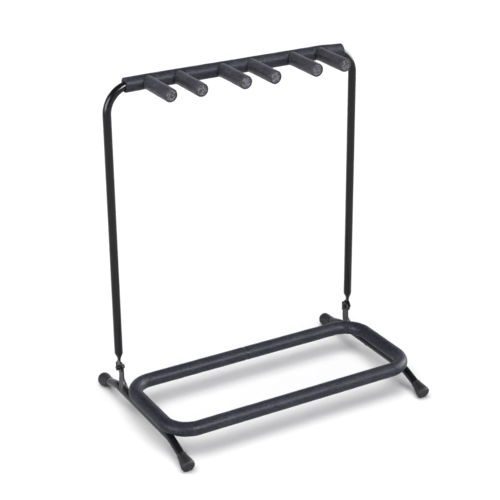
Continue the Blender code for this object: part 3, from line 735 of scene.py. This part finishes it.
def make_loop_sleeve(foam):
    """Foam all the way round the loop, its two ends butted behind, and notched over the legs."""
    path = fillet_path(loop_corners(GAP), LOOP_CORNER_R, 22, 0.004)
    run = lengths(path)
    outer = []
    inner = []
    for point, ahead, far in zip(path, tangents(path), run):
        from_end = min(far, run[-1] - far)
        tuck = LOOP_SEAM_TUCK * math.exp(-(from_end / LOOP_SEAM_WIDTH) ** 2)
        side = ahead.cross(Z_AXIS)
        ring = foam_ring(point, side, Z_AXIS, LOOP_R - tuck)
        outer.append([clear_of_leg(p, point) for p in ring])
        inner.append(circle(point, side, Z_AXIS, TUBE_R + GAP, FOAM_SIDES))
    piece = skin("loop_sleeve", outer + inner[::-1], joined=True)
    place(piece, LOOP, "base", "foam", foam, "loop_foam")


def clear_of_leg(point, centre):
    """Press a point of the loop's foam up to the skin of the leg that lies under it."""
    if point.z > centre.z:
        return point
    leg_x = math.copysign(SIDE_X, point.x)
    offset = Vector((point.x - leg_x, 0, point.z + LEG_DROP))
    skin_r = TUBE_R + GAP
    if offset.length < skin_r and abs(point.y) < LOOP_HALF_Y + LOOP_R:
        rise = math.sqrt(skin_r ** 2 - min(offset.x ** 2, skin_r ** 2 * 0.99))
        point = Vector((point.x, point.y, -LEG_DROP + rise))
    return point


def make_loop_core(paint):
    """The loop's steel tube, and the sleeve that splices its two ends."""
    path = fillet_path(loop_corners(2 * GAP), LOOP_CORNER_R, 16, 0.02)
    tube = skin("loop_core_tube", pipe(path, Z_AXIS), joined=True)
    place(tube, LOOP, "base", "black_paint", paint, "base_loop_tube")
    radius = BORE_R - GAP
    profile = ((radius, 0.001 - SPLICE_HALF), (radius, SPLICE_HALF - 0.001),
               (radius - 0.0005, SPLICE_HALF), (SPLICE_BORE_R, SPLICE_HALF),
               (SPLICE_BORE_R, -SPLICE_HALF), (radius - 0.0005, -SPLICE_HALF))
    seam = Vector((0, LOOP_HALF_Y, 0))
    sleeve = lathe("loop_splice_sleeve", profile, TUBE_SIDES, seam, X_AXIS, Y_AXIS, joined=True)
    place(sleeve, LOOP, "base", "black_paint", paint, "loop_joint_sleeve")


# Base: legs, uprights, feet ----------------------------------------------------------------------
def leg_height(y):
    """The height of a leg's axis at y, along its middle run."""
    return LOOP_CENTRE.z + (LOOP_CENTRE.y - y) * math.tan(LOOP_TILT) - LEG_DROP / math.cos(LOOP_TILT)


def foot_mouth(forward, slope):
    """Where a foot's mouth is, so that the foot ends at the rack's depth and stands on its flat."""
    reach = max(t * math.cos(slope) + r * math.sin(slope) for r, t in FOOT_SIDE)
    drop = max(t * math.sin(slope) + r * math.cos(slope) for r, t in FOOT_SIDE)
    return forward * (HALF_DEPTH - reach), drop - FOOT_FLAT


def leg_corner(forward, slope):
    """Where the line through a foot meets the line of the leg's middle run."""
    y, z = foot_mouth(forward, slope)
    run = (leg_height(y) - z) / (math.sin(slope) - forward * math.cos(slope) * math.tan(LOOP_TILT))
    return y - forward * run * math.cos(slope), z + run * math.sin(slope)


def leg_end(forward, slope):
    """The leg's end, inside its foot."""
    y, z = foot_mouth(forward, slope)
    inside = FOOT_BORE_DEPTH - GAP
    return y + forward * inside * math.cos(slope), z - inside * math.sin(slope)


def leg_path(x):
    """A leg's axis, from its rear end to its front end."""
    corners = (leg_end(1, REAR_SLOPE), leg_corner(1, REAR_SLOPE),
               leg_corner(-1, FRONT_SLOPE), leg_end(-1, FRONT_SLOPE))
    return fillet_path([(x, y, z) for y, z in corners], LEG_BEND_R, 12, 0.02)


def make_leg(name, sign, paint):
    """An arched tube from a rear foot to a front foot."""
    leg = skin(name + "_leg", pipe(leg_path(sign * SIDE_X), X_AXIS), joined=True)
    place(leg, WORLD, "base", "black_paint", paint, name + "_leg_tube")


def make_foot(name, sign, forward, slope, rubber):
    """A flared cap with a rolled mouth, a ringed end face, and a flat where it stands."""
    y, z = foot_mouth(forward, slope)
    profile = FOOT_MOUTH + FOOT_SIDE + FOOT_FACE
    axis = Vector((0, forward * math.cos(slope), -math.sin(slope)))
    piece = lathe("cap_" + name, profile, FOAM_SIDES, Vector((sign * SIDE_X, y, z)), axis, X_AXIS)
    for vertex in piece.data.vertices:
        vertex.co.z = max(vertex.co.z, 0.0)
    place(piece, WORLD, "base", "rubber", rubber, name)


def upright_path(x):
    """An upright's axis, from the tip of its ear down and forward into the leg."""
    up = Vector((0, math.sin(LEAN), math.cos(LEAN)))
    pivot = Vector((x, PIVOT.y, PIVOT.z))
    foot_y = PIVOT.y - UPRIGHT_REACH
    corners = (pivot, pivot - up * UPRIGHT_CORNER, Vector((x, foot_y, leg_height(foot_y))))
    bend = fillet_path(corners, UPRIGHT_BEND_R, 20, 0.0015)
    ear = [pivot + up * EAR_HALF * math.cos(math.radians(a)) for a in EAR_ANGLES]
    return ear + bend


def make_upright(name, sign, paint):
    """A tube pressed flat into an ear at its top, turning round again as it bends into the leg."""
    path = upright_path(sign * UPRIGHT_X)
    rings = []
    for point, ahead, far in zip(path, tangents(path), lengths(path)):
        below = far - EAR_HALF
        share = smooth_step((below - STRAP_DROP) / ROUND_RUN)
        width = math.sqrt(max(EAR_HALF ** 2 - min(below, 0) ** 2, 1e-8))
        half_width = width if below < 0 else mix(EAR_HALF, TUBE_R, share)
        half_thick = mix(EAR_HALF_T, TUBE_R, share)
        inward = X_AXIS * sign * (SIDE_X - UPRIGHT_X) * share
        power = mix(FLAT_POWER, ROUND_POWER, share)
        rings.append(oval(point + inward, ahead.cross(X_AXIS), X_AXIS, half_width, half_thick,
                          TUBE_SIDES, power))
    upright = skin(name + "_ear_and_stem", rings)
    place(upright, WORLD, "base", "black_paint", paint, name + "_upright")


def make_stop_plate(name, paint):
    """The plate behind the two ears that the upright frame leans on."""
    low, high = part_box(name + "_stop_plate")
    width = FRAME_X - UPRIGHT_X + 2 * (EAR_HALF_T + GAP)
    bm = bmesh.new()
    bmesh.ops.create_cube(bm, size=1)
    bmesh.ops.scale(bm, vec=(width, STOP_T, STOP_HEIGHT), verts=bm.verts)
    bmesh.ops.bevel(bm, geom=bm.edges[:], offset=STOP_EDGE, segments=3, affect="EDGES", profile=0.5)
    bmesh.ops.translate(bm, vec=UPPER.inverted() @ ((low + high) / 2), verts=bm.verts)
    mesh = bpy.data.meshes.new(name)
    bm.to_mesh(mesh)
    bm.free()
    plate = finish_mesh(name + "_stop", mesh)
    place(plate, UPPER, "base", "black_paint", paint, name + "_stop_plate")


# Upper frame's tube ------------------------------------------------------------------------------
def crimp_rows():
    """Rise above the axis, half thickness, half width, boxiness and crease, from the ear's tip up."""
    rows = []
    for degrees in EAR_ANGLES:
        share = math.cos(math.radians(degrees))
        half_width = EAR_HALF * math.sqrt(1 - share ** 2)
        rows.append((-EAR_HALF * share, EAR_HALF_T, half_width, FLAT_POWER, 0.0))
    for k in range(4):
        rows.append((mix(0.0, EAR_SHOULDER, k / 4), EAR_HALF_T, EAR_HALF, FLAT_POWER, 0.0))
    for k in range(9):
        share = smooth_step(k / 8)
        rows.append((mix(EAR_SHOULDER, NECK_RISE, k / 8), mix(EAR_HALF_T, NECK_HALF_X, share),
                     mix(EAR_HALF, NECK_HALF_Y, smooth_step(k / 5)), mix(FLAT_POWER, NECK_POWER, share),
                     NECK_CREASE * share))
    for k in range(1, 17):
        share = smooth_step(k / 16)
        fold = CRIMP_CREASE * math.sin(math.pi * min(share * 1.15, 1.0)) + NECK_CREASE * (1 - share)
        rows.append((mix(NECK_RISE, CRIMP_RISE, k / 16), mix(NECK_HALF_X, TUBE_R, share),
                     mix(NECK_HALF_Y, TUBE_R, share), mix(NECK_POWER, ROUND_POWER, share), fold))
    return rows


def crease(angle, depth):
    """Two folds, front and back, where the press has pushed the tube's wall in."""
    total = 0.0
    for middle in (math.pi / 2, 3 * math.pi / 2):
        away = math.atan2(math.sin(angle - middle), math.cos(angle - middle))
        total += math.exp(-(away / CREASE_SPREAD) ** 2)
    return 1 - depth * total


def end_rings(sign, along):
    """Rings of one pressed end of the tube, from the ear's tip up."""
    rings = []
    side = along.cross(Y_AXIS)
    for rise, half_x, half_y, power, depth in crimp_rows():
        centre = Vector((sign * FRAME_X, 0, rise))
        ring = oval(centre, side, Y_AXIS, half_x, half_y, TUBE_SIDES, power)
        for k, point in enumerate(ring):
            ring[k] = centre + (point - centre) * crease(2 * math.pi * k / TUBE_SIDES, depth)
        rings.append(ring)
    return rings


def make_frame_tube(paint):
    """One tube bent to an upside-down U, from ear to ear."""
    start = CRIMP_RISE + 0.001
    corners = ((-FRAME_X, 0, start), (-FRAME_X, 0, BAR_RISE),
               (FRAME_X, 0, BAR_RISE), (FRAME_X, 0, start))
    path = fillet_path(corners, FRAME_BEND_R, 24, 0.03)
    middle = tube_rings(path, Y_AXIS, TUBE_R, TUBE_SIDES)
    tube = skin("frame_tube", end_rings(-1, Z_AXIS) + middle + end_rings(1, -Z_AXIS)[::-1])
    place(tube, UPPER, "upper_frame", "black_paint", paint, "upper_frame_tube")


# Fasteners ---------------------------------------------------------------------------------------
def pivot_stack():
    """Where the three washers start, outward from the middle of the upright's ear."""
    inner = -EAR_HALF_T - GAP - WASHER_T
    middle = EAR_HALF_T + GAP
    outer = FRAME_X - UPRIGHT_X + EAR_HALF_T + GAP
    return inner, middle, outer


def pivot_lathe(name, sign, profile, joined=False):
    """Turn (radius, distance outward from the ear's middle) points about the fold axis."""
    rings = []
    for radius, distance in profile:
        centre = Vector((sign * (UPRIGHT_X + distance), 0, 0))
        rings.append(circle(centre, Y_AXIS, Z_AXIS, radius, TUBE_SIDES))
    return skin(name, rings, joined)


def blunt_hexagon(share):
    """A hexagon of the nut's size with its corners cut down to a share of their reach."""
    return hexagon(NUT_FLATS, NUT_CORNER_R * share)


def make_pivot_bolt(name, sign, zinc):
    """A bolt with a socket in its chamfered hexagon head, and its thread showing past the nut."""
    head = pivot_stack()[0] - GAP
    top = head - HEAD_T
    nut = pivot_stack()[2] + WASHER_T + GAP
    end = nut + NUT_T + COLLAR_T
    flat = hexagon(NUT_FLATS)
    socket = hexagon(BOLT_SOCKET)
    profile = [(socket, head - HEAD_T * 0.35), (socket, top + 0.0003), (0.0019, top),
               (NUT_CORNER_R * 0.72, top), (blunt_hexagon(0.90), top + 0.0003),
               (blunt_hexagon(0.97), top + 0.0007), (flat, top + 0.0011), (flat, head - 0.0003),
               (NUT_FLATS * 0.47, head), (BOLT_R, head), (BOLT_R, nut)]
    for k in range(THREAD_STEPS):
        profile.append((BOLT_R - (THREAD_DEPTH if k % 2 else 0.0), mix(nut, end, k / THREAD_STEPS)))
    profile.append((BOLT_R - 2 * THREAD_DEPTH, end + GAP))
    bolt = pivot_lathe(name + "_bolt", sign, profile)
    place(bolt, UPPER, "base", "black_zinc", zinc, name + "_pivot_bolt")


def make_lock_nut(name, sign, zinc):
    """A nut with the rounded collar that holds its locking ring."""
    start = pivot_stack()[2] + WASHER_T + GAP
    top = start + NUT_T
    end = top + COLLAR_T
    hole = BOLT_R + GAP
    flat = hexagon(NUT_FLATS)
    profile = ((NUT_FLATS * 0.47, start), (blunt_hexagon(0.94), start + 0.0003), (flat, start + 0.0006),
               (flat, top - 0.0007), (blunt_hexagon(0.95), top - 0.0004),
               (blunt_hexagon(0.88), top - 0.0001), (0.0037, top), (0.0036, end - 0.0004),
               (0.0033, end - 0.0001), (0.0031, end), (hole, end), (hole, start))
    nut = pivot_lathe(name + "_nut", sign, profile, joined=True)
    place(nut, UPPER, "base", "black_zinc", zinc, name + "_lock_nut")


def make_pivot_washers(name, sign, zinc):
    """Three washers: inside the upright's ear, between the two ears, and outside the frame's ear."""
    hole = BOLT_R + GAP
    kinds = (("inner", WASHER_T), ("middle", THIN_WASHER_T), ("outer", WASHER_T))
    for start, (kind, depth) in zip(pivot_stack(), kinds):
        soft = depth * 0.25
        end = start + depth
        profile = ((WASHER_R - soft, start), (WASHER_R, start + soft), (WASHER_R, end - soft),
                   (WASHER_R - soft, end), (hole, end), (hole, start))
        washer = pivot_lathe(f"{name}_{kind}_disc", sign, profile, joined=True)
        place(washer, UPPER, "base", "black_zinc", zinc, f"{name}_{kind}_washer")


def fixing_places():
    """Where the four screws stand, in the loop's own space."""
    return [Vector((x, y, 0)) for x in (-SIDE_X, SIDE_X) for y in (-FIXING_Y, FIXING_Y)]


def saddle_ring(spot, radius, tube_height, above):
    """A ring whose height follows a tube along Y, on its upper side or its under side."""
    points = []
    for k in range(TUBE_SIDES):
        angle = 2 * math.pi * k / TUBE_SIDES
        x = radius * math.cos(angle)
        rise = math.sqrt((TUBE_R + GAP) ** 2 - x ** 2)
        z = tube_height + rise if above else tube_height - rise
        points.append(spot + Vector((x, radius * math.sin(angle), z)))
    return points


def make_loop_fixings(zinc):
    """A screw up through each leg, a spacer between leg and loop, and a nut set in the loop's tube."""
    hole = SCREW_R + GAP
    under = -LEG_DROP - TUBE_R - GAP
    socket = hexagon(SCREW_SOCKET)
    screw_profile = (
        (socket, under - 0.0002), (socket, under - 0.0011), (0.0016, under - 0.0012),
        (0.0026, under - 0.00118), (0.0034, under - 0.0009), (0.0039, under - 0.0005), (0.0040, under),
        (SCREW_R, under), (SCREW_R, 0.0020), (SCREW_R - 0.0004, 0.0025),
    )
    nut_profile = ((0.0037, -0.0051), (0.0040, -0.0048), (0.0040, 0.0012), (0.0037, 0.0015),
                   (hole, 0.0015), (hole, -0.0051))
    for number, spot in enumerate(fixing_places(), 1):
        screw = lathe(f"loop_fixing_screw_{number}", screw_profile, TUBE_SIDES, spot)
        place(screw, LOOP, "base", "black_zinc", zinc, f"loop_screw_{number}")
        rings = [saddle_ring(spot, SPACER_R, -LEG_DROP, True), saddle_ring(spot, SPACER_R, 0, False),
                 saddle_ring(spot, hole, 0, False), saddle_ring(spot, hole, -LEG_DROP, True)]
        spacer = skin(f"loop_fixing_spacer_{number}", rings, joined=True)
        place(spacer, LOOP, "base", "black_zinc", zinc, f"loop_spacer_{number}")
        nut = lathe(f"loop_fixing_nut_{number}", nut_profile, TUBE_SIDES, spot, joined=True)
        place(nut, LOOP, "base", "black_zinc", zinc, f"loop_insert_nut_{number}")


# Studio ------------------------------------------------------------------------------------------
ROOM_COLOUR = (0.13, 0.13, 0.14, 1)
WALL_COLOUR = (1.15, 1.15, 1.20, 1)
WALL_LIMITS = (("Y", 0.10, 0.45), ("Z", 0.55, 0.25))    # where the wall fades in, on two world axes
# Angular size, strength, elevation and azimuth of the soft lights; only the first reaches the floor.
OVERHEAD = (math.radians(68), 3.50, math.radians(74), math.radians(-50))
FRONT = (math.radians(24), 5.4, math.radians(32), math.radians(14))
RIGHT = (math.radians(50), 7.0, math.radians(20), math.radians(82))
LEFT = (math.radians(50), 6.0, math.radians(12), math.radians(-75))
FLOOR_Z = -0.0002
FLOOR_SIDES = 96
FLOOR_RADII = (0.05, 0.4, 1.2, 3.0, 9.0, 60.0)
CAMERA_PLACE = (-1.2590, -2.0589, 1.4338)
CAMERA_YAW = math.radians(30.757)       # turned to the right of +Y
CAMERA_PITCH = math.radians(24.989)     # looking down
CAMERA_ROLL = math.radians(0.761)
CAMERA_LENS = 100.92
CAMERA_SENSOR = 36


def add_floor():
    """A wide round sheet of paper, just under the feet."""
    centre = Vector((0, 0, FLOOR_Z))
    rings = [circle(centre, X_AXIS, Y_AXIS, radius, FLOOR_SIDES) for radius in FLOOR_RADII]
    mesh = bpy.data.meshes.new("floor")
    faces = [tuple(range(FLOOR_SIDES))]
    for i in range(len(rings) - 1):
        here = i * FLOOR_SIDES
        there = here + FLOOR_SIDES
        for k in range(FLOOR_SIDES):
            n = (k + 1) % FLOOR_SIDES
            faces.append((here + k, here + n, there + n, there + k))
    mesh.from_pydata([point for ring in rings for point in ring], [], faces)
    floor = bpy.data.objects.new("floor", mesh)
    bpy.context.scene.collection.objects.link(floor)
    mesh.materials.append(floor_material())
    return floor


def add_world():
    """A dim grey room with a pale wall behind the rack."""
    world = bpy.data.worlds.new("studio")
    bpy.context.scene.world = world
    world.use_nodes = True
    tree = world.node_tree
    split = tree.nodes.new("ShaderNodeSeparateXYZ")
    tree.links.new(tree.nodes.new("ShaderNodeTexCoord").outputs["Generated"], split.inputs["Vector"])
    wall = tree.nodes.new("ShaderNodeMath")
    wall.operation = "MULTIPLY"
    for socket, (axis, dark, light) in zip(wall.inputs, WALL_LIMITS):
        edge = tree.nodes.new("ShaderNodeMapRange")
        edge.interpolation_type = "SMOOTHSTEP"
        edge.inputs["From Min"].default_value = dark
        edge.inputs["From Max"].default_value = light
        tree.links.new(split.outputs[axis], edge.inputs["Value"])
        tree.links.new(edge.outputs["Result"], socket)
    colour = tree.nodes.new("ShaderNodeMix")
    colour.data_type = "RGBA"
    colour.inputs[6].default_value = ROOM_COLOUR
    colour.inputs[7].default_value = WALL_COLOUR
    tree.links.new(wall.outputs["Value"], colour.inputs["Factor"])
    tree.links.new(colour.outputs[2], tree.nodes["Background"].inputs["Color"])


def add_camera():
    """The scene's camera, in front of the rack to its left, and above it."""
    camera = bpy.data.cameras.new("camera")
    camera.lens = CAMERA_LENS
    camera.sensor_width = CAMERA_SENSOR
    obj = bpy.data.objects.new("camera", camera)
    turn = Matrix.Rotation(-CAMERA_YAW, 4, "Z") @ Matrix.Rotation(math.pi / 2 - CAMERA_PITCH, 4, "X")
    obj.matrix_world = Matrix.Translation(CAMERA_PLACE) @ turn @ Matrix.Rotation(CAMERA_ROLL, 4, "Z")
    bpy.context.scene.collection.objects.link(obj)
    bpy.context.scene.camera = obj


def add_sun(name, angle, strength, elevation, azimuth, floor, on_floor):
    """A wide light so far away that it is even all over, kept either to the floor or off it.

    The azimuth turns from the front to +X.
    """
    light = bpy.data.lights.new(name, "SUN")
    light.angle = angle
    light.energy = strength
    obj = bpy.data.objects.new(name, light)
    flat = math.cos(elevation)
    source = Vector((math.sin(azimuth) * flat, -math.cos(azimuth) * flat, math.sin(elevation)))
    obj.rotation_euler = source.to_track_quat("Z", "Y").to_euler()
    bpy.context.scene.collection.objects.link(obj)
    flagged = bpy.data.collections.new(name + "_flag")
    flagged.objects.link(floor)
    for entry in flagged.collection_objects:
        entry.light_linking.link_state = "INCLUDE" if on_floor else "EXCLUDE"
    obj.light_linking.receiver_collection = flagged


def add_studio():
    """The floor, the lights and the room."""
    floor = add_floor()
    add_sun("overhead", *OVERHEAD, floor, True)
    add_sun("front", *FRONT, floor, False)
    add_sun("right", *RIGHT, floor, False)
    add_sun("left", *LEFT, floor, False)
    add_world()
    bpy.context.scene.view_settings.view_transform = "Standard"


# Everything --------------------------------------------------------------------------------------
def main():
    """Build everything, in a fixed order."""
    add_camera()
    paint = paint_material()
    # Paint of the pressed ends: real wear, with a lighter tone that is a painted reflection.
    worn_and_sheen = worn_and_sheen_paint_material()
    # One foam in two copies: the crossbar's and loop's copy is darker as painted shade, and the pegs'
    # copy is lighter as painted light.
    foam = foam_material("foam_skin", dark=(0.0138, 0.0147, 0.0218),
                         light=(0.0210, 0.0217, 0.0320), specks=1500, mottle=0.36)
    peg_foam = foam_material("peg_foam_painted_light_copy", dark=(0.0275, 0.027, 0.0346),
                             light=(0.0405, 0.0397, 0.0497), specks=900, mottle=0.48)
    cut_face = cut_foam_material()
    plastic = plug_material()
    rubber = rubber_material()
    zinc = fastener_material()
    make_frame_tube(paint)
    make_crossbar_sleeve(foam, cut_face)
    for number, x in enumerate(PEG_XS, 1):
        make_peg_tube(number, x, paint)
        make_peg_sleeve(number, x, peg_foam, cut_face)
        make_peg_plug(number, x, plastic)
    make_loop_core(paint)
    make_loop_sleeve(foam)
    make_loop_fixings(zinc)
    for name, sign in SIDES:
        make_leg(name, sign, paint)
        make_upright(name, sign, worn_and_sheen)
        make_stop_plate(name, worn_and_sheen)
        make_foot(f"front_{name}_foot", sign, -1, FRONT_SLOPE, rubber)
        make_foot(f"rear_{name}_foot", sign, 1, REAR_SLOPE, rubber)
        make_pivot_bolt(name, sign, zinc)
        make_lock_nut(name, sign, zinc)
        make_pivot_washers(name, sign, zinc)
    add_studio()


main()
